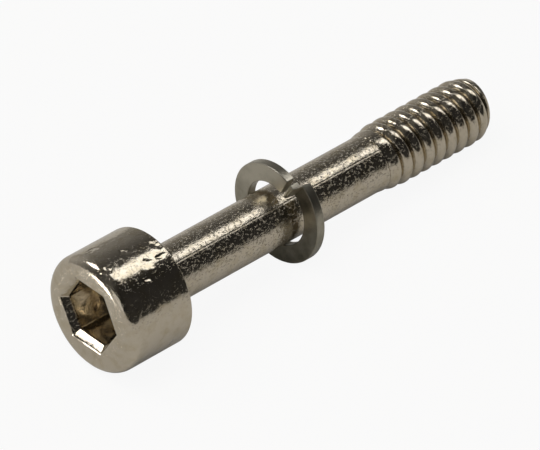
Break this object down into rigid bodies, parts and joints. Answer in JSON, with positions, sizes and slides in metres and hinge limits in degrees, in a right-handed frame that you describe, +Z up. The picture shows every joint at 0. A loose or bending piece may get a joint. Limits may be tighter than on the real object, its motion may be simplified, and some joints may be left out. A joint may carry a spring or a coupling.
{
  "type": "d-sub jack screw",
  "caption": "Nickel-plated socket head jack screw with a plain shank, a thread at its tip only and a loose spring washer; it fastens a connector's hood to its mate.",
  "frame": {"origin": "on the floor under the middle of the screw's length", "axes": "+X runs level from the head towards the threaded tip, +Z up; the screw lies on its head's back rim and the end of its thread, so its own axis falls by about 3.5 degrees towards the tip"},
  "size_m": [0.0216, 0.005, 0.0052],
  "materials": {
    "nickel": "bright nickel plate over a slightly rough blank",
    "washer_steel": "satin plated spring steel"
  },
  "bodies": {
    "root": {"jack_screw": "nickel", "spring_washer": "washer_steel"}
  },
  "joints": []
}
